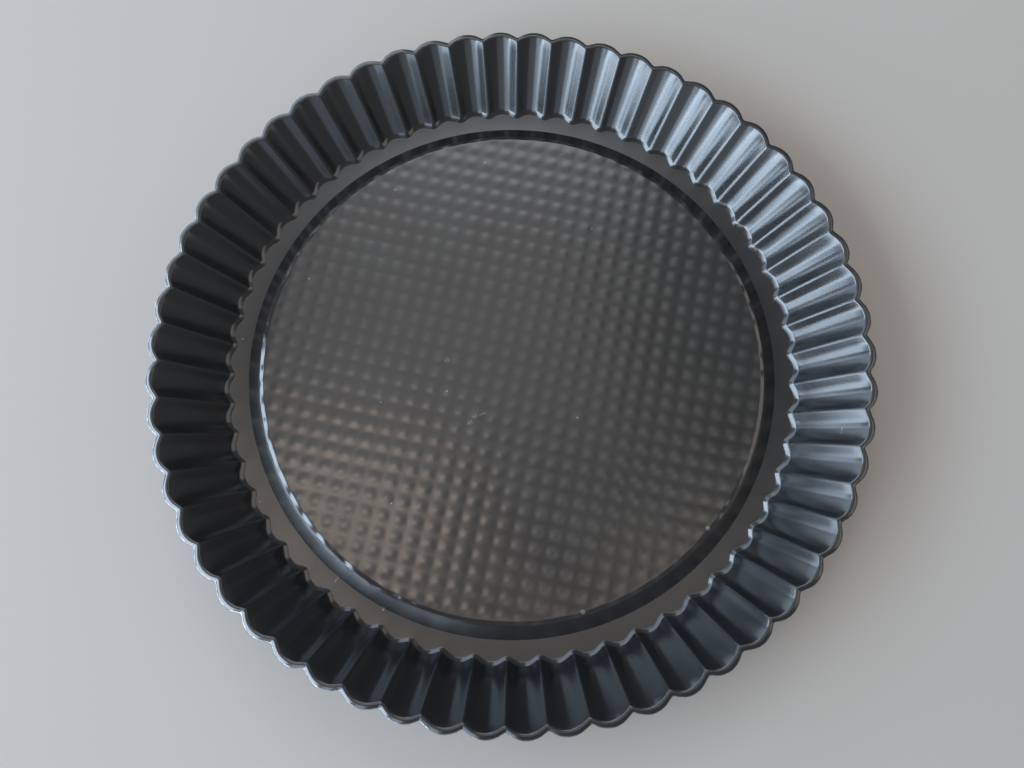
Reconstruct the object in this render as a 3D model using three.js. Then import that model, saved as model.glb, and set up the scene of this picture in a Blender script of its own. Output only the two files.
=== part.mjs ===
// A round fluted flan pan in two pressed steel pieces: a fluted ring and a loose base that lies on it.
// Millimetres, +Z up. The origin is on the table, on the pan's axis.
import * as THREE from 'three';

// Driving sizes of the fluted ring
const RIM_DIAMETER = 280; // over the lip's outer edge, across the lobes of the flutes
const HEIGHT = 27; // table to the top of the lip
const SHEET = 0.7; // thickness of the ring's steel
const LIP_WIDTH = 2.4; // lip turned outwards round the rim
const LIP_BEND = 0.5; // inside radius of the bend from wall to lip
const WALL_RUN = 18.1; // how far the wall leans out between floor and lip
const FOOT_FILLET = 3; // inside radius where the wall meets the floor
const FLUTE_COUNT = 58;
const FLUTE_DEPTH = 2.5; // lobe to crest
const FLANK_LEAN = 33; // degrees between a flute's flank and the tangent of the rim
const RIM_CREST_RADIUS = 1.2; // inward crest between two lobes, at the top of the wall
const FOOT_CREST_RADIUS = 2; // the same crest, at the foot of the wall
const TROUGH_WIDTH = 11; // flat floor, from the step's foot to the lobes at the wall's foot
const STEP_RUN = 7; // how far the conical step leans in as it climbs from floor to ledge
const STEP_COVE = 5; // inside radius where the floor turns up into the step
const STEP_BEND = 0.5; // inside radius of the bend from step to ledge
const LEDGE_WIDTH = 6.9; // flat ledge that carries the base

// Driving sizes of the loose base
const BASE_SHEET = 0.7; // thickness of the base's steel
const BASE_RISE = 3.7; // top of the base above the floor of the trough
const BASE_RIM_DEPTH = 1.5; // depth of the base's turned-down edge, over all
const BASE_EDGE_BEND = 0.6; // inside radius of the turned-down edge

// Fits
const SEAT_GAP = 0.3; // between the ledge and the base that lies on it
const RIM_CLEARANCE = 0.8; // between the base's turned-down edge and the step inside it

// Facets
const LOBE_STEPS = 4; // round one lobe
const CREST_STEPS = 1; // round one crest
const ROUND_STEPS = 2 * FLUTE_COUNT; // round the plain circles
const BEND_STEPS = 2; // round a bend of the sheet
const TIGHT_BEND_STEPS = 1; // round a bend too small to show

// Places that follow from the sizes
const wallTopRadius = RIM_DIAMETER / 2 - LIP_WIDTH;
const wallFootRadius = wallTopRadius - WALL_RUN;
const stepFootRadius = wallFootRadius - TROUGH_WIDTH;
const stepTopRadius = stepFootRadius - STEP_RUN;
const holeRadius = stepTopRadius - LEDGE_WIDTH;

const floorTop = SHEET;
const baseTop = floorTop + BASE_RISE;
const baseRimEnd = baseTop - BASE_RIM_DEPTH;
const ledgeTop = baseTop - BASE_SHEET - SEAT_GAP;

const stepRunAtRimEnd = (STEP_RUN * (ledgeTop - baseRimEnd)) / (ledgeTop - floorTop);
const baseRadius = stepTopRadius + stepRunAtRimEnd + RIM_CLEARANCE + BASE_SHEET;

const fluteAngle = (2 * Math.PI) / FLUTE_COUNT;
const flankLean = THREE.MathUtils.degToRad(FLANK_LEAN);

// One face of a bent sheet, seen in section: straight stretches from corner to corner, each inner corner
// rounded to an arc that its two stretches have room for. Two arcs share the stretch between them equally.
// A corner is { r, z } with a bend radius and its facets. Each station { r, z, slope } of the result knows
// the slope of the sheet where it stands.
function bentLine(corners) {
  const slopeOf = (from, to) => Math.atan2(to.z - from.z, to.r - from.r);
  const lengthOf = (from, to) => Math.hypot(to.r - from.r, to.z - from.z);
  const first = corners[0];
  const last = corners[corners.length - 1];
  const stations = [{ r: first.r, z: first.z, slope: slopeOf(first, corners[1]) }];
  for (let i = 1; i < corners.length - 1; i += 1) {
    const corner = corners[i];
    const slopeIn = slopeOf(corners[i - 1], corner);
    const turn = slopeOf(corner, corners[i + 1]) - slopeIn;
    const roomBefore = lengthOf(corners[i - 1], corner) / (i === 1 ? 1 : 2);
    const roomAfter = lengthOf(corner, corners[i + 1]) / (i === corners.length - 2 ? 1 : 2);
    const reach = Math.min(corner.bend * Math.tan(Math.abs(turn) / 2), roomBefore, roomAfter);
    const radius = reach / Math.tan(turn / 2); // negative where the sheet bends downwards
    const centreR = corner.r - reach * Math.cos(slopeIn) - radius * Math.sin(slopeIn);
    const centreZ = corner.z - reach * Math.sin(slopeIn) + radius * Math.cos(slopeIn);
    for (let k = 0; k <= corner.steps; k += 1) {
      const slope = slopeIn + (turn * k) / corner.steps;
      const r = centreR + radius * Math.sin(slope);
      const z = centreZ - radius * Math.cos(slope);
      stations.push({ r, z, slope });
    }
  }
  stations.push({ r: last.r, z: last.z, slope: slopeOf(corners[corners.length - 2], last) });
  return stations;
}

// The closed outline of a sheet: its upper face, then its lower face back again. The shift of a station is
// how far it moves outwards and down, square to the sheet, to reach the lower face.
function sheetOutline(upperFace, thickness) {
  const lowerFace = upperFace.map((station) => ({
    ...station,
    shiftOut: thickness * Math.sin(station.slope),
    shiftDown: thickness * Math.cos(station.slope),
  }));
  const upper = upperFace.map((station) => ({ ...station, shiftOut: 0, shiftDown: 0 }));
  return [...upper, ...lowerFace.reverse()];
}

function pointAt(radius, angle, z) {
  return new THREE.Vector3(radius * Math.cos(angle), radius * Math.sin(angle), z);
}

// A station of the ring carried round the axis as a plain circle. It starts in the middle of a crest.
function plainRing({ r, z, shiftOut, shiftDown }) {
  const points = [];
  for (let k = 0; k < ROUND_STEPS; k += 1) {
    const angle = (2 * Math.PI * k) / ROUND_STEPS - fluteAngle / 2;
    points.push(pointAt(r + shiftOut, angle, z - shiftDown));
  }
  return points;
}

// A station of the ring carried round the axis in flutes: outward lobes and inward crests, two arcs joined
// by straight flanks that touch both. The flanks keep their lean from foot to rim, but never lean more than
// the arcs alone would. Foot fillet and sheet thickness go square to the flutes, so towards the floor the
// lobes narrow and the crests broaden. The lip runs straight outwards and keeps the flutes of the rim.
function flutedRing({ r, z, shiftOut, shiftDown }) {
  const climb = (z - floorTop) / (HEIGHT - floorTop);
  const wallRadius = wallFootRadius + WALL_RUN * climb;
  const outwards = Math.min(r - wallRadius, 0) + shiftOut;
  const lipShift = Math.max(r - wallRadius, 0);
  const pitch = fluteAngle * (wallRadius - FLUTE_DEPTH / 2);
  const lean = Math.min(flankLean, 2 * Math.atan((2 * FLUTE_DEPTH) / pitch));
  const bothRadii = (pitch / 2 - FLUTE_DEPTH / Math.tan(lean)) / Math.tan(lean / 2);
  const crestRadius = FOOT_CREST_RADIUS + (RIM_CREST_RADIUS - FOOT_CREST_RADIUS) * climb;
  const lobeRadius = bothRadii - crestRadius;
  const lobeCentre = wallRadius - lobeRadius + lipShift;
  const crestCentre = wallRadius - FLUTE_DEPTH + crestRadius + lipShift;
  const lobeReach = lobeRadius + outwards;
  const crestReach = crestRadius - outwards;
  const points = [];
  for (let flute = 0; flute < FLUTE_COUNT; flute += 1) {
    const add = (along, radius) => {
      points.push(pointAt(radius, fluteAngle * (flute + along / pitch), z - shiftDown));
    };
    for (let k = 0; k <= LOBE_STEPS; k += 1) {
      const turn = lean * ((2 * k) / LOBE_STEPS - 1);
      add(lobeReach * Math.sin(turn), lobeCentre + lobeReach * Math.cos(turn));
    }
    for (let k = 0; k <= CREST_STEPS; k += 1) {
      const turn = lean * (1 - (2 * k) / CREST_STEPS);
      add(pitch / 2 - crestReach * Math.sin(turn), crestCentre - crestReach * Math.cos(turn));
    }
  }
  return points;
}

// A closed skin over rings of points that follow each other round a section. Neighbouring rings may differ
// in their number of points: each step round goes to the ring whose next point comes first.
function skin(rings) {
  const positions = rings.flat().flatMap((point) => point.toArray());
  const triangles = [];
  let start = 0;
  rings.forEach((ring, k) => {
    const isLast = k === rings.length - 1;
    const next = isLast ? rings[0] : rings[k + 1];
    const nextStart = isLast ? 0 : start + ring.length;
    let here = 0;
    let there = 0;
    while (here < ring.length || there < next.length) {
      const from = start + (here % ring.length);
      const to = nextStart + (there % next.length);
      if ((here + 1) * next.length <= (there + 1) * ring.length) {
        here += 1;
        triangles.push(from, to, start + (here % ring.length));
      } else {
        there += 1;
        triangles.push(from, to, nextStart + (there % next.length));
      }
    }
    start += ring.length;
  });
  const geometry = new THREE.BufferGeometry();
  geometry.setAttribute('position', new THREE.Float32BufferAttribute(positions, 3));
  geometry.setIndex(triangles);
  geometry.computeVertexNormals();
  return geometry;
}

// Ledge, step, trough floor, fluted wall and lip in one pressing
function flutedRingGeometry() {
  const upperFace = bentLine([
    { r: holeRadius, z: ledgeTop },
    { r: stepTopRadius, z: ledgeTop, bend: STEP_BEND + SHEET, steps: TIGHT_BEND_STEPS },
    { r: stepFootRadius, z: floorTop, bend: STEP_COVE, steps: BEND_STEPS },
    { r: wallFootRadius, z: floorTop, bend: FOOT_FILLET, steps: BEND_STEPS },
    { r: wallTopRadius, z: HEIGHT, bend: LIP_BEND + SHEET, steps: TIGHT_BEND_STEPS },
    { r: wallTopRadius + LIP_WIDTH, z: HEIGHT },
  ]);
  const middleOfFloor = (stepFootRadius + wallFootRadius) / 2;
  const rings = sheetOutline(upperFace, SHEET).map((station) => (
    station.r < middleOfFloor ? plainRing(station) : flutedRing(station)
  ));
  return skin(rings);
}

// A flat round plate whose edge is rounded over and turned down
function looseBaseGeometry() {
  const upperFace = bentLine([
    { r: 0, z: baseTop },
    { r: baseRadius, z: baseTop, bend: BASE_EDGE_BEND + BASE_SHEET, steps: BEND_STEPS },
    { r: baseRadius, z: baseRimEnd },
  ]);
  const outline = sheetOutline(upperFace, BASE_SHEET).map(({ r, z, shiftOut, shiftDown }) => (
    new THREE.Vector2(r + shiftOut, z - shiftDown)
  ));
  const geometry = new THREE.LatheGeometry(outline.reverse(), ROUND_STEPS);
  geometry.rotateX(Math.PI / 2);
  return geometry;
}

const ringCoat = new THREE.MeshStandardMaterial({ color: 0x3a3836, roughness: 0.42, metalness: 0 });
const baseCoat = new THREE.MeshStandardMaterial({ color: 0x403e3c, roughness: 0.48, metalness: 0 });

const flutedRingMesh = new THREE.Mesh(flutedRingGeometry(), ringCoat);
flutedRingMesh.name = 'fluted_ring';

const looseBaseMesh = new THREE.Mesh(looseBaseGeometry(), baseCoat);
looseBaseMesh.name = 'loose_base';

const flanPan = new THREE.Group();
flanPan.name = 'flan_pan';
flanPan.add(flutedRingMesh, looseBaseMesh);

export default flanPan;
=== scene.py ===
# %% [markdown]
# # A fluted flan pan
# The pan is two pressings of thin steel under a dark non-stick coat: a ring with a fluted wall, a flat
# trough and an inner ledge, and a loose waffled base that lies on that ledge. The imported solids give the
# main sizes and the bodies that move. This lesson makes a finer skin for each of the two pieces, mixes
# their coat from procedural nodes, and sets up a small studio round them.
#
# The first step loads the solids. The rim, the height and the size of the base are read from their boxes,
# and not written again here, so the skins and the solids meet at the rim and on the ledge.

# %% Load the solids and read their sizes
import math

import bpy
import numpy as np
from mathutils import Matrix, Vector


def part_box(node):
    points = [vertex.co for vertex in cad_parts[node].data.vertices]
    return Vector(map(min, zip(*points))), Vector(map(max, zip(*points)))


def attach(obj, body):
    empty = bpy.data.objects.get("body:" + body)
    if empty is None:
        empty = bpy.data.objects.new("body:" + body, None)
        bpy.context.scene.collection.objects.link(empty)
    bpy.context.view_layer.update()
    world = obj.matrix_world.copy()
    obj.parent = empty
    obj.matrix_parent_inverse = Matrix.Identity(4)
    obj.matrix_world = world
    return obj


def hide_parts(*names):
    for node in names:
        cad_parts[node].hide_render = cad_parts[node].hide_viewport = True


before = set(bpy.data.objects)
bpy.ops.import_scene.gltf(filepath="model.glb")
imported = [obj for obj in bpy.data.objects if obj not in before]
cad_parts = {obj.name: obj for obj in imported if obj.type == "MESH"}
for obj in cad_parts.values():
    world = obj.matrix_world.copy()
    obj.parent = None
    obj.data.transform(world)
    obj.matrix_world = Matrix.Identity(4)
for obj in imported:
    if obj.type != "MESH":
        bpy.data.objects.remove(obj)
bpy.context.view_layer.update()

MM = 0.001

ring_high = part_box("fluted_ring")[1]
base_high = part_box("loose_base")[1]
RIM_RADIUS = ring_high.x  # a lobe of the rim lies on +X
HEIGHT = ring_high.z
BASE_RADIUS = base_high.x
BASE_TOP = base_high.z
print(f"ring: rim radius {RIM_RADIUS / MM:.1f} mm, height {HEIGHT / MM:.1f} mm")
print(f"base: radius {BASE_RADIUS / MM:.2f} mm, top at {BASE_TOP / MM:.1f} mm")

# %% [markdown]
# ## The section of a bent sheet
# Both pieces are sheet metal, so both start as one line: the upper face of the sheet, cut through the
# middle of the pan. A pressing tool leaves straight stretches with a round bend between each two. A bevel
# modifier could round the bends later, but an arc that is worked out here knows its own slope at each
# point, and the slope is what moves a point square to the sheet to find the lower face.

# %% Round the bends of a line
def bent_line(corners, fineness=1.0):
    """Rows (r, z, slope) along straight stretches whose inner corners are rounded to arcs.

    A corner is (r, z, bend radius, steps round its bend, steps on the stretch after it). Where the slope
    turns by t, the arc leaves the first stretch bend * tan(|t| / 2) before the corner, and its point at
    slope s lies at centre + sign(t) * bend * (sin s, -cos s). All steps are multiplied by `fineness`.
    """
    places = np.array([corner[:2] for corner in corners])
    runs = np.diff(places, axis=0)
    slopes = np.arctan2(runs[:, 1], runs[:, 0])
    pieces = [np.array([[*places[0], slopes[0]]])]
    for k in range(1, len(corners) - 1):
        bend, steps = corners[k][2:4]
        turn = slopes[k] - slopes[k - 1]
        arc_slopes = np.linspace(slopes[k - 1], slopes[k], max(2, round(steps * fineness)) + 1)
        signed_bend = math.copysign(bend, turn)
        tangent = np.array([math.cos(slopes[k - 1]), math.sin(slopes[k - 1])])
        normal = np.array([-tangent[1], tangent[0]])
        centre = places[k] - bend * math.tan(abs(turn) / 2) * tangent + signed_bend * normal
        arc = centre + signed_bend * np.stack([np.sin(arc_slopes), -np.cos(arc_slopes)], axis=1)
        pieces.append(np.column_stack([arc, arc_slopes]))
    pieces.append(np.array([[*places[-1], slopes[-1]]]))
    rows = []
    for k, piece in enumerate(pieces[:-1]):
        steps = max(1, round(corners[k][4] * fineness))
        stretch = np.linspace(piece[-1], pieces[k + 1][0], steps + 1)[1:-1]
        rows.extend([piece, stretch])
    rows.append(pieces[-1])
    return np.vstack(rows)


# %% Go round the whole sheet
def face_rows(rows, depth):
    """One face of a sheet as section rows: every point moved the same depth through the sheet."""
    return np.column_stack([rows, np.full(len(rows), depth), np.zeros(len(rows))])


def sheet_section(upper, lower, thickness, cap_steps):
    """Rows (r, z, slope, through, along) round a whole sheet: upper face, far edge, lower face, near edge.

    A point is the row's (r, z), moved `through` square into the sheet and `along` in its own direction. Each
    cut edge is a half circle: through = (1 - cos a) * thickness / 2 and along = sin a * thickness / 2, for a
    from 0 to 180 degrees.
    """
    arc = np.linspace(0, np.pi, cap_steps + 1)[1:-1]
    through = (1 - np.cos(arc)) * thickness / 2
    along = np.sin(arc) * thickness / 2
    far_edge = np.column_stack([np.tile(upper[-1], (len(arc), 1)), through, along])
    near_edge = np.column_stack([np.tile(upper[0], (len(arc), 1)), through[::-1], -along[::-1]])
    return np.vstack([face_rows(upper, 0.0), far_edge, face_rows(lower[::-1], thickness), near_edge])


def shifts(section):
    """How far each row's point moves outwards and up.

    At slope s, through the sheet is the direction (sin s, -cos s), and along it is (cos s, sin s).
    """
    slope, through, along = section[:, 2], section[:, 3], section[:, 4]
    outwards = through * np.sin(slope) + along * np.cos(slope)
    upwards = along * np.sin(slope) - through * np.cos(slope)
    return outwards, upwards


# %% [markdown]
# ## The ring in section
# From the hole in the middle outwards, the ring has a ledge, a shoulder that falls ever steeper to the
# trough, the flat trough, a short flare at the wall's foot, the leaning wall and a narrow lip that is
# turned outwards over the rim. The lip droops a little past level, so it takes the light differently from
# the wall. The solid has the same faces with plainer bends, and its wall is a little steeper: the foot of
# the skin's wall lies 1.6 mm further in, which is where the streaks of light on the flutes put it.

# %% Sizes of the ring
SHEET = 0.7 * MM
LIP_WIDTH = 2.4 * MM
LIP_ROUND = 1.2 * MM
LIP_DROOP = math.radians(20)
WALL_RUN = 19.7 * MM
FOOT_FLARE_RUN = 1.6 * MM
FOOT_FLARE = math.radians(35)
FOOT_FLARE_ROUND = 3.5 * MM
FLOOR_ROUND = 0.5 * MM
TROUGH_WIDTH = 9.4 * MM
FLOOR_EDGE_SHIFT = 0.7 * MM  # the shoulder meets the floor this far outside the foot of the solid's step
STEP_RUN = 7.0 * MM
SHOULDER_ROUND = 4.0 * MM
SHOULDER_REACH = 0.1 * MM  # the shoulder turns down this far outside the base
SHOULDER_DROP = 0.5 * MM  # and this far below the ledge
LEDGE_ROUND = 3.0 * MM
LEDGE_OVERRUN = 0.5 * MM  # the ledge turns down this far past the top of the solid's step
LEDGE_WIDTH = 6.9 * MM
BASE_SHEET = 0.7 * MM
SEAT_GAP = 0.3 * MM
UNDERSIDE_FINENESS = 0.5  # the lower face of a sheet has half as many rows
RING_CAP_STEPS = 4

FLOOR_TOP = SHEET
LEDGE_TOP = BASE_TOP - BASE_SHEET - SEAT_GAP
WALL_TOP_RADIUS = RIM_RADIUS - LIP_WIDTH
WALL_FOOT_RADIUS = WALL_TOP_RADIUS - WALL_RUN
STEP_FOOT_RADIUS = WALL_FOOT_RADIUS - TROUGH_WIDTH
STEP_TOP_RADIUS = STEP_FOOT_RADIUS - STEP_RUN
HOLE_RADIUS = STEP_TOP_RADIUS - LEDGE_WIDTH
MIDDLE_OF_TROUGH = (STEP_FOOT_RADIUS + WALL_FOOT_RADIUS) / 2
print(f"wall foot radius {WALL_FOOT_RADIUS / MM:.1f} mm, hole radius {HOLE_RADIUS / MM:.1f} mm")

# %% Upper face of the ring
wall_slope = math.atan2(HEIGHT - FLOOR_TOP, WALL_RUN)
lip_reach = LIP_ROUND * math.tan((wall_slope + LIP_DROOP) / 2)
lip_corner_z = HEIGHT - LIP_ROUND * (1 - math.cos(wall_slope)) + lip_reach * math.sin(wall_slope)
lip_corner_r = WALL_FOOT_RADIUS + (lip_corner_z - FLOOR_TOP) / math.tan(wall_slope)
lip_end_r = RIM_RADIUS - SHEET / 2 * (1 - math.sin(LIP_DROOP))
lip_end_z = lip_corner_z - (lip_end_r - lip_corner_r) * math.tan(LIP_DROOP)

flare_top_z = FLOOR_TOP + FOOT_FLARE_RUN * math.tan(FOOT_FLARE)
flare_top_r = WALL_FOOT_RADIUS + (flare_top_z - FLOOR_TOP) / math.tan(wall_slope)

ring_corners = [
    (HOLE_RADIUS + SHEET / 2, LEDGE_TOP, 0, 0, 2),
    (STEP_TOP_RADIUS + LEDGE_OVERRUN, LEDGE_TOP, LEDGE_ROUND, 3, 1),
    (BASE_RADIUS + SHOULDER_REACH, LEDGE_TOP - SHOULDER_DROP, SHOULDER_ROUND, 3, 1),
    (STEP_FOOT_RADIUS + FLOOR_EDGE_SHIFT, FLOOR_TOP, FLOOR_ROUND, 4, 1),
    (flare_top_r - FOOT_FLARE_RUN, FLOOR_TOP, FLOOR_ROUND, 4, 2),
    (flare_top_r, flare_top_z, FOOT_FLARE_ROUND, 4, 9),
    (lip_corner_r, lip_corner_z, LIP_ROUND, 8, 2),
    (lip_end_r, lip_end_z, 0, 0, 0),
]
ring_upper = bent_line(ring_corners)
ring_lower = bent_line(ring_corners, UNDERSIDE_FINENESS)
ring_section = sheet_section(ring_upper, ring_lower, SHEET, RING_CAP_STEPS)
print(f"ring section: {len(ring_section)} points, wall at {math.degrees(wall_slope):.1f} degrees")

# %% [markdown]
# ## Flutes
# The wall is folded into 58 flutes, each a wide lobe that bulges outwards and a narrow crest that points
# inwards. In plan they are two arcs joined by a straight flank that touches both, so the wall has no kink
# anywhere. The flanks keep one lean all the way up, while the flutes grow deeper and wider towards the
# rim, and the lip keeps the wave of the rim. An array modifier could repeat one flute, but carrying the
# section round the axis on a grid gives the whole ring as one closed skin: one parameter runs round the
# section, the other round the rim. Steel springs back unevenly after the press, so the rim wanders by
# about a tenth of a millimetre, and each lobe and crest stands a little off its place.

# %% Columns round the rim
FLUTE_COUNT = 58
FLANK_LEAN = math.radians(31)
LOBE_COLUMNS = 13
CREST_COLUMNS = 7
FLUTE_WOBBLE = 0.012  # as a share of one flute's angle
WOBBLE_SEED = 7

flute_angle = 2 * math.pi / FLUTE_COUNT
lobe_share = np.linspace(-1, 1, LOBE_COLUMNS)
crest_share = np.linspace(1, -1, CREST_COLUMNS)
turn = np.tile(FLANK_LEAN * np.concatenate([lobe_share, crest_share]), FLUTE_COUNT)
on_crest = np.tile(np.arange(LOBE_COLUMNS + CREST_COLUMNS) >= LOBE_COLUMNS, FLUTE_COUNT)
flute_number = np.repeat(np.arange(FLUTE_COUNT), LOBE_COLUMNS + CREST_COLUMNS)
draws = np.random.default_rng(WOBBLE_SEED).uniform(-1, 1, 2 * FLUTE_COUNT)
wobble = FLUTE_WOBBLE * draws[2 * flute_number + on_crest]
print(f"{len(turn)} columns round the rim, one flute every {math.degrees(flute_angle):.2f} degrees")

# %% Carry the section round the flutes
FLUTE_DEPTH = 2.6 * MM  # lobe to crest, at the rim
FOOT_FLUTE_DEPTH = 2.2 * MM
RIM_CREST_RADIUS = 1.2 * MM
FOOT_CREST_RADIUS = 2.0 * MM
RIM_WANDER = 0.06 * MM
WANDER_WAVES = ((2, 0.4, 0.7), (7, 2.1, 0.4), (13, 0.0, 0.4))  # waves round the rim, phase, share


def fluted_points(section):
    """Grid of points (section rows x columns round the rim).

    A lobe is the arc lobe centre + L * (sin a, cos a), a crest is crest centre - C * (sin a, cos a), and a
    runs between -lean and lean, where the flanks touch both. A depth D over half a pitch p / 2 then gives
    L + C = (p / 2 - D / tan lean) / tan(lean / 2). Moving outwards adds to L and takes away from C, but the
    lip moves both centres instead. Rows inside the middle of the trough stay plain circles. The wander is a
    sum of waves 1 + sin, so it only draws the rim in.
    """
    outwards, upwards = shifts(section)
    r, z = section[:, :1], section[:, 1:2]
    climb = (z - FLOOR_TOP) / (HEIGHT - FLOOR_TOP)
    wall_radius = WALL_FOOT_RADIUS + WALL_RUN * climb
    lip_shift = np.maximum(r - wall_radius, 0)
    out = np.clip(r - wall_radius, -FOOT_FLARE_RUN, 0) + outwards[:, None]
    depth = FOOT_FLUTE_DEPTH + (FLUTE_DEPTH - FOOT_FLUTE_DEPTH) * climb
    pitch = flute_angle * (wall_radius - depth / 2)
    both_radii = (pitch / 2 - depth / math.tan(FLANK_LEAN)) / math.tan(FLANK_LEAN / 2)
    crest_radius = FOOT_CREST_RADIUS + (RIM_CREST_RADIUS - FOOT_CREST_RADIUS) * climb
    lobe_radius = both_radii - crest_radius
    lobe_centre = wall_radius - lobe_radius + lip_shift
    crest_centre = wall_radius - depth + crest_radius + lip_shift
    lobe_reach = lobe_radius + out
    crest_reach = crest_radius - out

    sideways = np.where(on_crest, pitch / 2 - crest_reach * np.sin(turn), lobe_reach * np.sin(turn))
    angle = flute_angle * (flute_number + wobble + sideways / pitch)
    crest_line = crest_centre - crest_reach * np.cos(turn)
    lobe_line = lobe_centre + lobe_reach * np.cos(turn)
    wander = sum(share * (1 + np.sin(waves * angle + phase)) for waves, phase, share in WANDER_WAVES)
    fluted = np.where(on_crest, crest_line, lobe_line) - RIM_WANDER * wander * np.clip(climb, 0, 1)
    radius = np.where(r > MIDDLE_OF_TROUGH, fluted, r + outwards[:, None])
    height = np.broadcast_to(z + upwards[:, None], radius.shape)
    return np.stack([radius * np.cos(angle), radius * np.sin(angle), height], axis=-1)


ring_points = fluted_points(ring_section)
print(f"ring grid: {ring_points.shape[0]} x {ring_points.shape[1]} points")

# %% [markdown]
# ## From grid to mesh
# A grid turns into quads by joining each point with its neighbours on the next row and column. The ring
# closes on itself both ways, like a doughnut, so it needs no caps. Four values are stored on its points
# for the coat: `bare` is high where use rubs the coat thin, along the lip and the crests, `inside` tells
# the cooking face from the outside, `crown` marks the tops of the crests, and `polish` the steep faces.

# %% Mesh helpers
def grid_quads(rows, columns):
    """Corner numbers of the quads of a grid whose rows and columns close on themselves."""
    row = np.arange(rows)[:, None]
    column = np.arange(columns)[None, :]
    next_row = (row + 1) % rows
    next_column = (column + 1) % columns
    corners = [row * columns + column, next_row * columns + column,
               next_row * columns + next_column, row * columns + next_column]
    return np.stack(corners, axis=-1).reshape(-1, 4)


def mesh_piece(name, points, faces, values):
    """A smooth-shaded object at the origin, with one named value per point for each entry of `values`."""
    mesh = bpy.data.meshes.new(name)
    mesh.from_pydata(points.reshape(-1, 3), [], faces)
    mesh.shade_smooth()
    for key, value in values.items():
        layer = mesh.attributes.new(key, "FLOAT", "POINT")
        layer.data.foreach_set("value", np.ascontiguousarray(value, dtype=np.float32).ravel())
    piece = bpy.data.objects.new(name, mesh)
    bpy.context.scene.collection.objects.link(piece)
    mesh.calc_loop_triangles()
    print(f"{name}: {len(mesh.loop_triangles)} triangles, valid {not mesh.validate()}")
    return piece


# %% Make the fluted ring
LIP_RUB_WIDTH = 0.5 * MM
CREST_WEAR = 0.45  # how bare a crest is at the rim, where the lip's edge is 1
STEEP = 0.25  # slope in radians from which a face counts as fully steep
SHOULDER_POLISH = 0.5  # polish of the steep faces inside the trough, where the wall's is 1

section_r = ring_section[:, 0]
through_share = ring_section[:, 3] / SHEET
wall_climb = np.clip((ring_section[:, 1] - FLOOR_TOP) / (HEIGHT - FLOOR_TOP), 0, 1)
on_wall = (section_r > flare_top_r) * wall_climb * (1 - through_share)
crest_top = np.where(on_crest, np.cos(turn / FLANK_LEAN * np.pi / 2), 0)
# crown paints the crest tops paler in the coat: partly wear, partly a painted highlight.
crown = on_wall[:, None] * crest_top[None, :]
lip_share = np.clip((section_r - lip_end_r + LIP_RUB_WIDTH) / LIP_RUB_WIDTH, 0, 1)
steep = np.clip(np.abs(ring_section[:, 2]) / STEEP, 0, 1)
steep_polish = steep * np.where(section_r > MIDDLE_OF_TROUGH, 1, SHOULDER_POLISH)

ring_rows, ring_columns = ring_points.shape[:2]
ring_values = {
    "bare": np.maximum(lip_share[:, None], CREST_WEAR * crown),
    "inside": np.repeat(1 - through_share, ring_columns),
    "crown": crown,
    "polish": np.repeat(steep_polish, ring_columns),
}
ring_piece = mesh_piece("fluted_ring_skin", ring_points, grid_quads(ring_rows, ring_columns), ring_values)

# %% [markdown]
# ## The waffled base
# The loose base is a disc of sheet, pressed all over with a square grid of soft round bumps that let air
# under the cake. Modelled as a disc of rings its middle would pinch to a point, and a square grid would
# leave a ragged edge. A square that is bent into a circle has neither fault: lines of the square become
# lines of the disc, and its border becomes the round edge.

# %% Bend a square grid into a disc
def disc_grid(cells):
    """A unit disc as a square grid of cells: x and y of its points.

    The larger coordinate is the radius, and the angle is an eighth of a turn times the ratio of the smaller
    to the larger, so each square ring becomes a circle.
    """
    line = np.linspace(-1, 1, cells + 1)
    a, b = np.meshgrid(line, line, indexing="ij")
    wide = np.abs(a) >= np.abs(b)
    radius = np.where(wide, a, b)
    larger = np.where(radius == 0, 1, radius)
    angle = np.where(wide, np.pi / 4 * b / larger, np.pi / 2 - np.pi / 4 * a / larger)
    return radius * np.cos(angle), radius * np.sin(angle)


def border_order(cells):
    """Numbers of the grid's border points, once round, anticlockwise."""
    side = np.arange(cells)
    width = cells + 1
    return np.concatenate([cells * width + side, (cells - side) * width + cells, cells - side, side * width])


# %% Heights of the waffle
WAFFLE_PITCH = 6.82 * MM
WAFFLE_TURN = math.radians(-11.3)
WAFFLE_PLACE = (-3.11 * MM, -2.82 * MM)  # the middle of one bump


def waffle(x, y):
    """Height share of the bumps, 0 in the grooves and 1 on the crowns.

    It is the product of two waves along the rows and columns, each (1 + cos) / 2.
    """
    dx, dy = x - WAFFLE_PLACE[0], y - WAFFLE_PLACE[1]
    along = (dx * math.cos(WAFFLE_TURN) + dy * math.sin(WAFFLE_TURN)) / WAFFLE_PITCH
    across = (dy * math.cos(WAFFLE_TURN) - dx * math.sin(WAFFLE_TURN)) / WAFFLE_PITCH
    return (0.5 + 0.5 * np.cos(2 * np.pi * along)) * (0.5 + 0.5 * np.cos(2 * np.pi * across))


# %% [markdown]
# The edge of the disc falls away in a narrow chamfer before it is cut off, as the pressing tool leaves
# it. The bumps run on over the chamfer, so the light breaks up along it, and they fade a little towards
# the cut. On the solid the edge is turned down instead, which takes up the same room from above.

# %% Section of the base's edge
EDGE_FALL = math.radians(16)
EDGE_FALL_RUN = 2.2 * MM
EDGE_FALL_ROUND = 1.2 * MM
BUMPS_AT_CUT = 0.5
BASE_CAP_STEPS = 5

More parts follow.
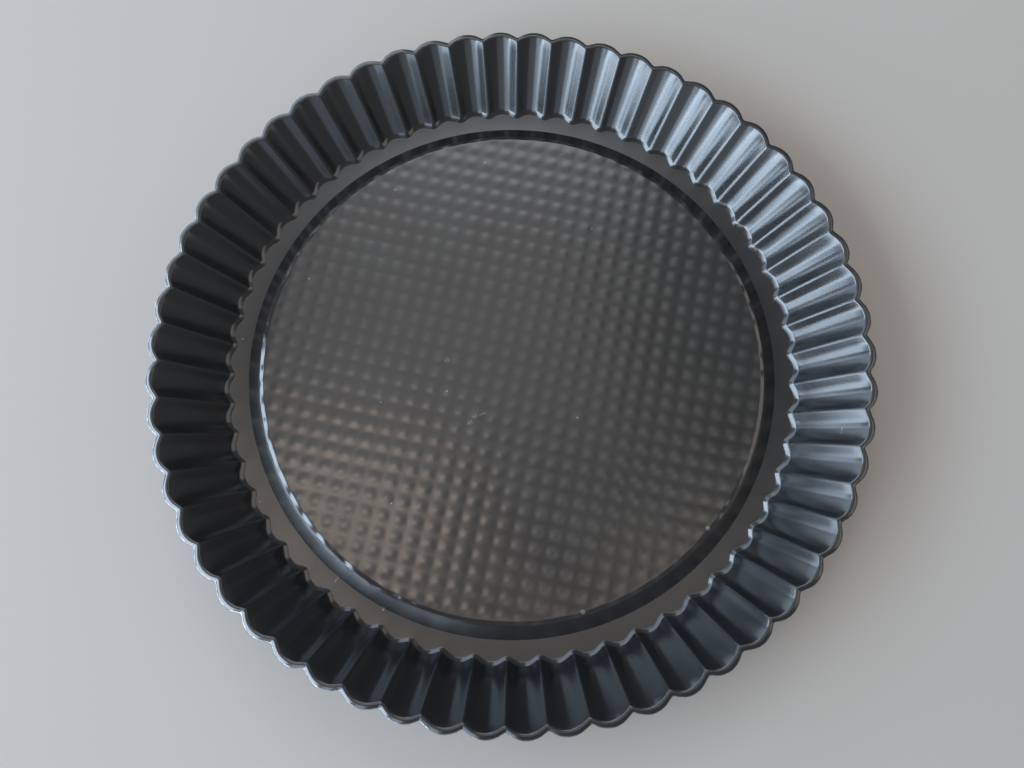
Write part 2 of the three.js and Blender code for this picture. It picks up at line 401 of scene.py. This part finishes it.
edge_end = BASE_RADIUS - BASE_SHEET / 2
fall_start = BASE_RADIUS - EDGE_FALL_RUN
flat_radius = fall_start - EDGE_FALL_ROUND * math.tan(EDGE_FALL / 2)
edge_corners = [
    (flat_radius - BASE_SHEET, BASE_TOP, 0, 0, 1),
    (fall_start, BASE_TOP, EDGE_FALL_ROUND, 3, 5),
    (edge_end, BASE_TOP - (edge_end - fall_start) * math.tan(EDGE_FALL), 0, 0, 0),
]
edge_upper = bent_line(edge_corners)[1:]
edge_lower = bent_line(edge_corners, UNDERSIDE_FINENESS)[1:]
whole_edge = sheet_section(edge_upper, edge_lower, BASE_SHEET, BASE_CAP_STEPS)
# The first row is the border of the disc itself, and the rows after the lower face would close the sheet.
edge_section = whole_edge[1:len(edge_upper) + len(edge_lower) + BASE_CAP_STEPS - 1]
edge_out, edge_up = shifts(edge_section)
edge_fade = np.interp(edge_section[:, 0], [fall_start, edge_end], [1, BUMPS_AT_CUT])
print(f"base edge: {len(edge_section)} rows, {2 * flat_radius / WAFFLE_PITCH:.1f} waffles across the flat")

# %% [markdown]
# The disc's border carries on over that edge, round its cut end and back inside to the underside, which
# repeats the bumps as hollows because the sheet is pressed through. The same four values go with the
# points: `bare` where the cut edge is rubbed, `inside` for the cooking face, `crown` for the tops of the
# bumps, and `polish` for the chamfer.

# %% Points of the loose base
DISC_CELLS = 190
WAFFLE_DEPTH = 0.22 * MM
WAFFLE_LEVEL = 0.28  # share of the bumps' height that lies below the top of the solid

unit_x, unit_y = disc_grid(DISC_CELLS)
disc_x, disc_y = flat_radius * unit_x.ravel(), flat_radius * unit_y.ravel()
disc_crown = waffle(disc_x, disc_y)
border = border_order(DISC_CELLS)
border_angle = np.arctan2(disc_y[border], disc_x[border])

edge_radius = (edge_section[:, 0] + edge_out)[:, None]
edge_x, edge_y = edge_radius * np.cos(border_angle), edge_radius * np.sin(border_angle)
edge_crown = WAFFLE_LEVEL + (waffle(edge_x, edge_y) - WAFFLE_LEVEL) * edge_fade[:, None]
edge_height = (edge_section[:, 1] + edge_up)[:, None] + WAFFLE_DEPTH * (edge_crown - WAFFLE_LEVEL)
edge_points = np.stack([edge_x, edge_y, edge_height], axis=-1)

top_points = np.stack([disc_x, disc_y, BASE_TOP + WAFFLE_DEPTH * (disc_crown - WAFFLE_LEVEL)], axis=1)
under_points = top_points - [0, 0, BASE_SHEET]
under_points[border] = edge_points[-1]  # the last row of the edge is the border of the underside
edge_points = edge_points[:-1]
base_points = np.vstack([top_points, under_points, edge_points.reshape(-1, 3)])
print(f"base: {len(base_points)} points")

# %% Faces of the loose base
disc_count = len(top_points)
edge_rows, edge_columns = edge_points.shape[:2]
cell_row, cell_column = np.divmod(np.arange(DISC_CELLS ** 2), DISC_CELLS)
first = cell_row * (DISC_CELLS + 1) + cell_column
top_quads = np.stack([first, first + DISC_CELLS + 1, first + DISC_CELLS + 2, first + 1], axis=1)
under_quads = top_quads[:, ::-1] + disc_count
edge_numbers = 2 * disc_count + np.arange(edge_rows * edge_columns).reshape(edge_rows, edge_columns)
bands = np.vstack([border[None, :], edge_numbers, (border + disc_count)[None, :]])
next_bands = np.roll(bands, -1, axis=1)
band_quads = np.stack([bands[:-1], bands[1:], next_bands[1:], next_bands[:-1]], axis=-1).reshape(-1, 4)
base_faces = np.vstack([top_quads, under_quads, band_quads])
print(f"base: {len(base_faces)} quads")

# %% Make the loose base
edge_inside = 1 - edge_section[:-1, 3] / BASE_SHEET
edge_rub = 4 * edge_inside * (1 - edge_inside)  # 0 on both faces and 1 in the middle of the cut edge
edge_steep = np.clip(np.abs(edge_section[:-1, 2]) / STEEP, 0, 1)
disc_inside = np.repeat([1.0, 0.0], disc_count)  # the cooking face, then the underside
disc_plain = np.zeros(2 * disc_count)
base_values = {
    "bare": np.concatenate([disc_plain, np.repeat(edge_rub, edge_columns)]),
    "inside": np.concatenate([disc_inside, np.repeat(edge_inside, edge_columns)]),
    # through crown the bump tops are painted paler: partly wear, partly a painted highlight
    "crown": np.concatenate([disc_crown, 1 - disc_crown, edge_crown[:-1].ravel()]),
    "polish": np.concatenate([disc_plain, np.repeat(edge_steep, edge_columns)]),
}
base_piece = mesh_piece("loose_base_skin", base_points, base_faces, base_values)

# %% [markdown]
# ## Who carries what
# Each skin takes the place of its solid and rides on that solid's body, so the base still lifts out of
# the ring.

# %% Put the skins on their bodies
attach(ring_piece, "ring")
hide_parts("fluted_ring")
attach(base_piece, "base")
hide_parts("loose_base")

# %% [markdown]
# ## Effects that both coats share
# A non-stick coat is a dark lacquer, baked on: a little blue on this ring, and neutral on the base. Close
# up it has a fine grain and broad faint clouds, and where it is rubbed it thins until the steel shows.
# Each effect is a node group with named sockets, so that both finishes can set it to their own strength.
# The groups read Object coordinates, which stay with the metal.

# %% Node helpers
def add(tree, kind, values=None, **settings):
    """A new node of one kind, with its settings, and plain values for its inputs by name or number."""
    made = tree.nodes.new(kind)
    for key, value in settings.items():
        setattr(made, key, value)
    for key, value in (values or {}).items():
        made.inputs[key].default_value = value
    return made


def link(tree, output, target):
    """One wire from an output socket to an input socket."""
    tree.links.new(output, target)


def maths(tree, operation, first, second, clamp=False):
    """A Math node whose two inputs are wires or plain numbers. Returns its output."""
    made = add(tree, "ShaderNodeMath", operation=operation, use_clamp=clamp)
    for place, value in enumerate((first, second)):
        if isinstance(value, (int, float)):
            made.inputs[place].default_value = value
        else:
            link(tree, value, made.inputs[place])
    return made.outputs[0]


def rescale(tree, value, low, high, new_low, new_high, smooth=False):
    """A Map Range node that takes low..high to new_low..new_high. Returns its output."""
    kind = "SMOOTHSTEP" if smooth else "LINEAR"
    ends = {1: low, 2: high, 3: new_low, 4: new_high}
    made = add(tree, "ShaderNodeMapRange", ends, interpolation_type=kind)
    link(tree, value, made.inputs[0])
    return made.outputs[0]


# %% Group helpers
def new_group(name, inputs, outputs):
    """An empty shader node group with float or vector inputs and float outputs, and its two end nodes."""
    group = bpy.data.node_groups.new(name, "ShaderNodeTree")
    for socket, default in inputs.items():
        kind = "NodeSocketVector" if isinstance(default, tuple) else "NodeSocketFloat"
        made = group.interface.new_socket(socket, in_out="INPUT", socket_type=kind)
        made.default_value = default
    for socket in outputs:
        group.interface.new_socket(socket, in_out="OUTPUT", socket_type="NodeSocketFloat")
    return group, group.nodes.new("NodeGroupInput"), group.nodes.new("NodeGroupOutput")


def place_group(tree, group, values=None):
    """A node that holds the group, with plain values for its inputs."""
    made = tree.nodes.new("ShaderNodeGroup")
    made.node_tree = group
    for key, value in (values or {}).items():
        made.inputs[key].default_value = value
    return made


# %% Grain and wear
WEAR_FADE = 0.25  # how far past its threshold the wear is complete


def grain_group():
    """Fine grain for the bump (Height) and broad clouds for colour and gloss (Cloud), both about 0 to 1."""
    inputs = {"Grain per metre": 1500.0, "Clouds per metre": 40.0}
    group, ends_in, ends_out = new_group("coat_grain", inputs, ["Height", "Cloud"])
    coords = add(group, "ShaderNodeTexCoord")
    for scale, socket, detail in (("Grain per metre", "Height", 3.0), ("Clouds per metre", "Cloud", 5.0)):
        noise = add(group, "ShaderNodeTexNoise", {"Detail": detail, "Roughness": 0.6})
        link(group, coords.outputs["Object"], noise.inputs["Vector"])
        link(group, ends_in.outputs[scale], noise.inputs["Scale"])
        link(group, noise.outputs["Fac"], ends_out.inputs[socket])
    return group


def thin_coat_group():
    """Where the coat is rubbed through (Mask): Bare and a blotchy noise together pass the threshold."""
    inputs = {"Bare": 0.0, "Blotches per metre": 500.0, "Threshold": 1.0}
    group, ends_in, ends_out = new_group("thin_coat", inputs, ["Mask"])
    coords = add(group, "ShaderNodeTexCoord")
    noise = add(group, "ShaderNodeTexNoise", {"Detail": 4.0, "Roughness": 0.65})
    link(group, coords.outputs["Object"], noise.inputs["Vector"])
    link(group, ends_in.outputs["Blotches per metre"], noise.inputs["Scale"])
    total = maths(group, "ADD", ends_in.outputs["Bare"], noise.outputs["Fac"])
    excess = maths(group, "SUBTRACT", total, ends_in.outputs["Threshold"])
    link(group, rescale(group, excess, 0.0, WEAR_FADE, 0.0, 1.0, smooth=True), ends_out.inputs["Mask"])
    return group


coat_grain = grain_group()
thin_coat = thin_coat_group()
print("effects:", coat_grain.name, "and", thin_coat.name)

# %% Flecks and round spots
SPOT_CORE = 0.6  # how near to its place, from 0 at its reach to 1, a spot is complete
SPOT_BREAKS = (0.38, 0.6)  # noise values between which a spot goes from nothing to whole


def fleck_group():
    """Sparse tiny flecks (Mask): the middles of a few Voronoi cells, picked by each cell's own colour."""
    inputs = {"Cells per metre": 150.0, "Size": 0.05, "Share": 0.05}
    group, ends_in, ends_out = new_group("flecks", inputs, ["Mask"])
    coords = add(group, "ShaderNodeTexCoord")
    cells = add(group, "ShaderNodeTexVoronoi")
    link(group, coords.outputs["Object"], cells.inputs["Vector"])
    link(group, ends_in.outputs["Cells per metre"], cells.inputs["Scale"])
    dot = maths(group, "LESS_THAN", cells.outputs["Distance"], ends_in.outputs["Size"])
    lot = add(group, "ShaderNodeSeparateColor")
    link(group, cells.outputs["Color"], lot.inputs["Color"])
    picked = maths(group, "LESS_THAN", lot.outputs["Red"], ends_in.outputs["Share"])
    link(group, maths(group, "MULTIPLY", dot, picked), ends_out.inputs["Mask"])
    return group


def round_spot_group():
    """A round patch (Mask) about Place that fades out at Reach, broken by a fine noise: marks and painted
    glints.
    """
    inputs = {"Place": (0.0, 0.0, 0.0), "Reach": 0.005, "Breaks per metre": 1600.0}
    group, ends_in, ends_out = new_group("round_spot", inputs, ["Mask"])
    coords = add(group, "ShaderNodeTexCoord")
    away = add(group, "ShaderNodeVectorMath", operation="DISTANCE")
    link(group, coords.outputs["Object"], away.inputs[0])
    link(group, ends_in.outputs["Place"], away.inputs[1])
    away_share = maths(group, "DIVIDE", away.outputs["Value"], ends_in.outputs["Reach"])
    near = maths(group, "SUBTRACT", 1.0, away_share, clamp=True)
    noise = add(group, "ShaderNodeTexNoise", {"Detail": 3.0, "Roughness": 0.6})
    link(group, coords.outputs["Object"], noise.inputs["Vector"])
    link(group, ends_in.outputs["Breaks per metre"], noise.inputs["Scale"])
    broken = rescale(group, noise.outputs["Fac"], *SPOT_BREAKS, 0.0, 1.0)
    spot = rescale(group, near, 0.0, SPOT_CORE, 0.0, 1.0, smooth=True)
    link(group, maths(group, "MULTIPLY", spot, broken), ends_out.inputs["Mask"])
    return group


flecks = fleck_group()
round_spot = round_spot_group()
print("effects:", flecks.name, "and", round_spot.name)

# %% [markdown]
# ## The coat
# One recipe serves both pieces. The lacquer is a dark plastic-like surface, so Metallic stays at 0 except
# where the steel shows through. Clouds vary the tone and the gloss, the grain is a low bump, and the
# outside of the pan is duller than the cooking face. The tops of crests and bumps are painted paler, partly
# as wear from use and partly as a painted highlight, and the steep faces are glossier than the flat ones.

# %% Coat helpers
def colour_mix(tree, factor, first, second):
    """A colour Mix node. Colours are wires or plain values. Returns its output."""
    made = add(tree, "ShaderNodeMix", data_type="RGBA")
    for socket, value in ((made.inputs[0], factor), (made.inputs[6], first), (made.inputs[7], second)):
        if isinstance(value, (int, float, tuple)):
            socket.default_value = value
        else:
            link(tree, value, socket)
    return made.outputs[2]


def point_value(tree, name):
    """The value that was stored on the mesh's points under a name."""
    return add(tree, "ShaderNodeAttribute", attribute_name=name).outputs["Fac"]


def spots(tree, places):
    """The largest of several round spots, each ((x, y, z), reach) in millimetres. Returns its mask."""
    mask = None
    for place, reach in places:
        made = place_group(tree, round_spot, {"Place": tuple(v * MM for v in place), "Reach": reach * MM})
        spot = made.outputs["Mask"]
        mask = spot if mask is None else maths(tree, "MAXIMUM", mask, spot)
    return mask


# %% The recipe for the coat
STEEL = (0.55, 0.54, 0.52, 1.0)
FLECK = (0.30, 0.29, 0.27, 1.0)
# The pale tone of the spots: scuffs, and on the base partly painted highlights on the bumps.
SCUFF_AND_GLINT_TONE = (0.12, 0.125, 0.13, 1.0)
COAT_IOR = 1.9
CLOUD_RANGE = (0.3, 0.7)  # noise values that count as no cloud and full cloud
UNEVEN_GLOSS = 0.03
GRAIN_STRENGTH = 0.15
GRAIN_HEIGHT = 0.05 * MM


def nonstick(name, groove, cloud_tone, rubbed_and_sheen, face_rough, outside_rough, steep_gloss, wear_from,
             scuffs_and_glints, chips):
    """The coat as a material.

    Its colour goes from `groove` to `cloud_tone` in clouds, and to `rubbed_and_sheen` on the crowns, which
    is wear and a painted highlight together. It is as rough as `face_rough` on the cooking face and
    `outside_rough` on the other, less `steep_gloss` on steep faces. Steel shows where the bare places pass
    `wear_from`, and in the chips.
    """
    material = bpy.data.materials.new(name)
    material.use_nodes = True
    tree = material.node_tree
    tree.nodes.clear()
    shader = add(tree, "ShaderNodeBsdfPrincipled", {"IOR": COAT_IOR})
    surface = add(tree, "ShaderNodeOutputMaterial")
    link(tree, shader.outputs["BSDF"], surface.inputs["Surface"])

    grain = place_group(tree, coat_grain)
    cloud = rescale(tree, grain.outputs["Cloud"], *CLOUD_RANGE, 0.0, 1.0)
    lacquer = colour_mix(tree, cloud, groove, cloud_tone)
    # Painted highlight and wear: the crowns of crests and bumps are painted paler.
    coat = colour_mix(tree, point_value(tree, "crown"), lacquer, rubbed_and_sheen)
    # Pale spots: scuffs, and on the base partly painted highlights on the bumps.
    scuffed_and_glinting = colour_mix(tree, spots(tree, scuffs_and_glints), coat, SCUFF_AND_GLINT_TONE)
    speck = place_group(tree, flecks)
    flecked = colour_mix(tree, speck.outputs["Mask"], scuffed_and_glinting, FLECK)

    worn = place_group(tree, thin_coat, {"Threshold": wear_from})
    link(tree, point_value(tree, "bare"), worn.inputs["Bare"])
    steel = maths(tree, "MAXIMUM", worn.outputs["Mask"], spots(tree, chips))
    link(tree, colour_mix(tree, steel, flecked, STEEL), shader.inputs["Base Color"])
    link(tree, steel, shader.inputs["Metallic"])

    either_face = rescale(tree, point_value(tree, "inside"), 0.0, 1.0, outside_rough, face_rough)
    uneven = rescale(tree, grain.outputs["Cloud"], *CLOUD_RANGE, -UNEVEN_GLOSS, UNEVEN_GLOSS)
    smoother = rescale(tree, point_value(tree, "polish"), 0.0, 1.0, 0.0, -steep_gloss)
    roughness = maths(tree, "ADD", maths(tree, "ADD", either_face, uneven), smoother)
    link(tree, roughness, shader.inputs["Roughness"])

    bump = add(tree, "ShaderNodeBump", {"Strength": GRAIN_STRENGTH, "Distance": GRAIN_HEIGHT})
    link(tree, grain.outputs["Height"], bump.inputs["Height"])
    link(tree, bump.outputs["Normal"], shader.inputs["Normal"])
    return material


# %% [markdown]
# The two finishes differ in tone and gloss. A few scuffs, scratches and chips sit where the pan has them,
# and on the base some pale spots and a dash are painted highlights on bumps as well as scuffs: a list
# of places and reaches, in millimetres, is enough for these.

# %% Places of the marks
FLOOR_Z = FLOOR_TOP / MM
BASE_Z = BASE_TOP / MM


def dash(start, end, count, reach):
    """Places of a dash: `count` spots of one reach along a straight line between two points."""
    return [(tuple(place), reach) for place in np.linspace(start, end, count).tolist()]


RING_SCUFFS = dash((115.6, -23.8, 3.0), (116.6, -22.6, 3.0), 4, 0.5)
RING_SCUFFS += dash((127, -29.5, 18), (128, -27.5, 18), 5, 0.5)
RING_CHIPS = dash((-65.8, -86.3, FLOOR_Z), (-67.3, -88.3, FLOOR_Z), 5, 0.35)
RING_CHIPS += dash((-47.8, -98.0, FLOOR_Z), (-48.2, -98.9, FLOOR_Z), 3, 0.35)
# Painted highlights: these base spots and the dash are partly scuffs, partly the glint of bumps.
BASE_SCUFFS_AND_GLINTS = [((-26.8, 0.6, BASE_Z), 1.5), ((-16.5, -25.3, BASE_Z), 1.6), ((-52, 77, BASE_Z), 1.2)]
BASE_SCUFFS_AND_GLINTS += dash((-15.2, -23.2, BASE_Z), (-10.4, -21.3, BASE_Z), 6, 0.7)
BASE_CHIPS = [((28.8, -98.2, BASE_Z), 1.1), ((77.9, -65.8, BASE_Z), 1.1)]
print("spots on the ring:", len(RING_SCUFFS + RING_CHIPS), "and on the base:", len(BASE_SCUFFS_AND_GLINTS + BASE_CHIPS))

# %% Mix the two finishes
ring_coat = nonstick(
    "ring_lacquer",
    groove=(0.0052, 0.0070, 0.0095, 1),
    cloud_tone=(0.008, 0.0098, 0.0125, 1),
    # the crest tops a little paler: wear and a painted highlight
    rubbed_and_sheen=(0.010, 0.0115, 0.0135, 1),
    face_rough=0.32,
    outside_rough=0.42,
    steep_gloss=0.13,
    wear_from=1.25,
    scuffs_and_glints=RING_SCUFFS,
    chips=RING_CHIPS,
)
base_coat = nonstick(
    "base_lacquer",
    groove=(0.010, 0.0098, 0.0095, 1),
    cloud_tone=(0.014, 0.0137, 0.0133, 1),
    # the bump tops much paler: wear and a painted highlight
    rubbed_and_sheen=(0.034, 0.0335, 0.033, 1),
    face_rough=0.25,
    outside_rough=0.45,
    steep_gloss=0.12,
    wear_from=1.2,
    # partly scuffs, partly painted highlights on the bumps
    scuffs_and_glints=BASE_SCUFFS_AND_GLINTS,
    chips=BASE_CHIPS,
)
ring_piece.data.materials.append(ring_coat)
base_piece.data.materials.append(base_coat)
print("finishes:", ring_coat.name, "and", base_coat.name)

# %% [markdown]
# ## A small studio
# The floor is plain and pale, a hair below the pan. The light comes from soft boxes. Each is given by the
# brightness of its face, so a size can change without changing how bright its reflection looks: power =
# brightness * pi * area.

# %% Floor
FLOOR_HALF = 6.0
FLOOR_DROP = 0.2 * MM
FLOOR_COLOUR = (0.50, 0.46, 0.42, 1)
FLOOR_ROUGHNESS = 0.8

floor_mesh = bpy.data.meshes.new("floor")
floor_corners = [(x * FLOOR_HALF, y * FLOOR_HALF) for x, y in ((-1, -1), (1, -1), (1, 1), (-1, 1))]
floor_mesh.from_pydata([(x, y, -FLOOR_DROP) for x, y in floor_corners], [], [(0, 1, 2, 3)])
floor = bpy.data.objects.new("floor", floor_mesh)
bpy.context.scene.collection.objects.link(floor)
floor_paint = bpy.data.materials.new("floor_paint")
floor_paint.use_nodes = True
floor_shader = floor_paint.node_tree.nodes["Principled BSDF"]
floor_shader.inputs["Base Color"].default_value = FLOOR_COLOUR
floor_shader.inputs["Roughness"].default_value = FLOOR_ROUGHNESS
floor_mesh.materials.append(floor_paint)
print(f"floor: {2 * FLOOR_HALF:.0f} m square")

# %% Soft box
def soft_box(name, place, aim, width, height, brightness, colour):
    """A rectangular lamp at a place, turned to face a point, with its face at the given brightness."""
    lamp = bpy.data.lights.new(name, "AREA")
    lamp.shape = "RECTANGLE"
    lamp.size = width
    lamp.size_y = height
    lamp.energy = brightness * math.pi * width * height
    lamp.color = colour
    box = bpy.data.objects.new(name, lamp)
    direction = np.array(place) - np.array(aim)
    flat = math.hypot(direction[0], direction[1])
    box.location = place
    box.rotation_euler = (math.atan2(flat, direction[2]), 0, math.atan2(direction[0], -direction[1]))
    box.visible_camera = False
    bpy.context.scene.collection.objects.link(box)
    print(f"{name}: {lamp.energy:.1f} W")


# %% [markdown]
# A window at the left draws the streaks down the flutes on the other side: each flute mirrors a strip of
# it, so where its panes begin and end decides where the streaks do. The window is made of upright soft
# boxes of different brightness, each given by the angles at which the pan sees it.

# %% Window
DAYLIGHT = (0.66, 0.82, 1.0)
WINDOW_DISTANCE = 1.5


def window_pane(name, low, high, start, end, brightness):
    """An upright soft box as the pan sees it: between two angles of height, from one bearing to another.

    All angles are in degrees. At distance d, an angle of height h is at d * tan h, and a pane that spans the
    bearing b is 2 * d * tan(b / 2) wide.
    """
    bottom, top = WINDOW_DISTANCE * np.tan(np.radians([low, high]))
    side = math.radians((start + end) / 2)
    middle = (bottom + top) / 2
    place = (WINDOW_DISTANCE * math.cos(side), WINDOW_DISTANCE * math.sin(side), middle)
    width = 2 * WINDOW_DISTANCE * math.tan(math.radians(end - start) / 2)
    soft_box(name, place, (0, 0, middle), width, top - bottom, brightness, DAYLIGHT)


window_pane("far_low_pane", 0, 7.6, 114, 152, 1.8)
window_pane("far_pane", 7.6, 33.7, 100, 166, 1.8)
window_pane("sill_pane", 0, 7.3, 157, 201, 5.4)
window_pane("low_pane", 7.3, 14, 178, 212, 6.2)
window_pane("middle_pane", 14, 22, 201, 240, 6.8)
window_pane("high_pane", 22, 46, 160, 232, 6.8)
window_pane("near_pane", 14, 45, 240, 256, 2.6)
window_pane("side_glow", 1, 31, 256, 289, 0.45)

# %% [markdown]
# Soft boxes overhead, with gaps between them, show the bumps of the waffle by their mirrored edges, and
# the warm ones among them give the trough its brown. A wide glow at the right and a faint room fill in
# the rest.

# %% Overhead boxes and room light
OVERHEAD = 1.2
ROOM_COLOUR = (0.96, 0.98, 1.0, 1)
ROOM_STRENGTH = 0.2


def overhead_box(name, x, y, width, depth, brightness, colour):
    """A soft box that faces straight down on a place of the floor."""
    soft_box(name, (x, y, OVERHEAD), (x, y, 0), width, depth, brightness, colour)


overhead_box("left_box", -0.17, 0.415, 0.85, 0.67, 0.5, (1.0, 0.97, 0.94))
overhead_box("warm_box", -0.36, -0.01, 0.4, 0.24, 2.9, (1.0, 0.84, 0.71))
overhead_box("right_box", 0.42, -0.16, 0.36, 0.3, 1.0, (1.0, 0.86, 0.7))
overhead_box("front_box", 0.02, -0.40, 0.5, 0.3, 0.85, (1.0, 0.82, 0.7))
overhead_box("far_box", -0.08, 1.3, 0.9, 1.0, 1.85, (0.90, 0.95, 1.0))
soft_box("right_glow", (1.3, 0.2, 0.85), (0, 0, 0), 1.6, 0.6, 0.8, (1.0, 0.93, 0.84))

room = bpy.data.worlds.new("room")
room.use_nodes = True
room.node_tree.nodes["Background"].inputs["Color"].default_value = ROOM_COLOUR
room.node_tree.nodes["Background"].inputs["Strength"].default_value = ROOM_STRENGTH
bpy.context.scene.world = room
bpy.context.scene.view_settings.view_transform = "Standard"

# %% [markdown]
# ## The camera
# The picture is taken by hand from close above, a little towards the near side, with a wide lens. Its
# place, its turns and its focal length were worked out from the circles of the rim, the wall's foot and
# the base.

# %% Camera
EYE = (0.89 * MM, -80.78 * MM, 306.78 * MM)
TILT, ROLL, TURN = math.radians(13.335), math.radians(-0.094), math.radians(0.968)
SENSOR_MM = 36.0
LENS_MM = 26.7

camera_data = bpy.data.cameras.new("camera")
camera_data.sensor_width = SENSOR_MM
camera_data.lens = LENS_MM
camera = bpy.data.objects.new("camera", camera_data)
camera.location = EYE
camera.rotation_euler = (TILT, ROLL, TURN)
bpy.context.scene.collection.objects.link(camera)
bpy.context.scene.camera = camera
print(f"camera {LENS_MM} mm at {[round(v / MM, 1) for v in EYE]} mm")
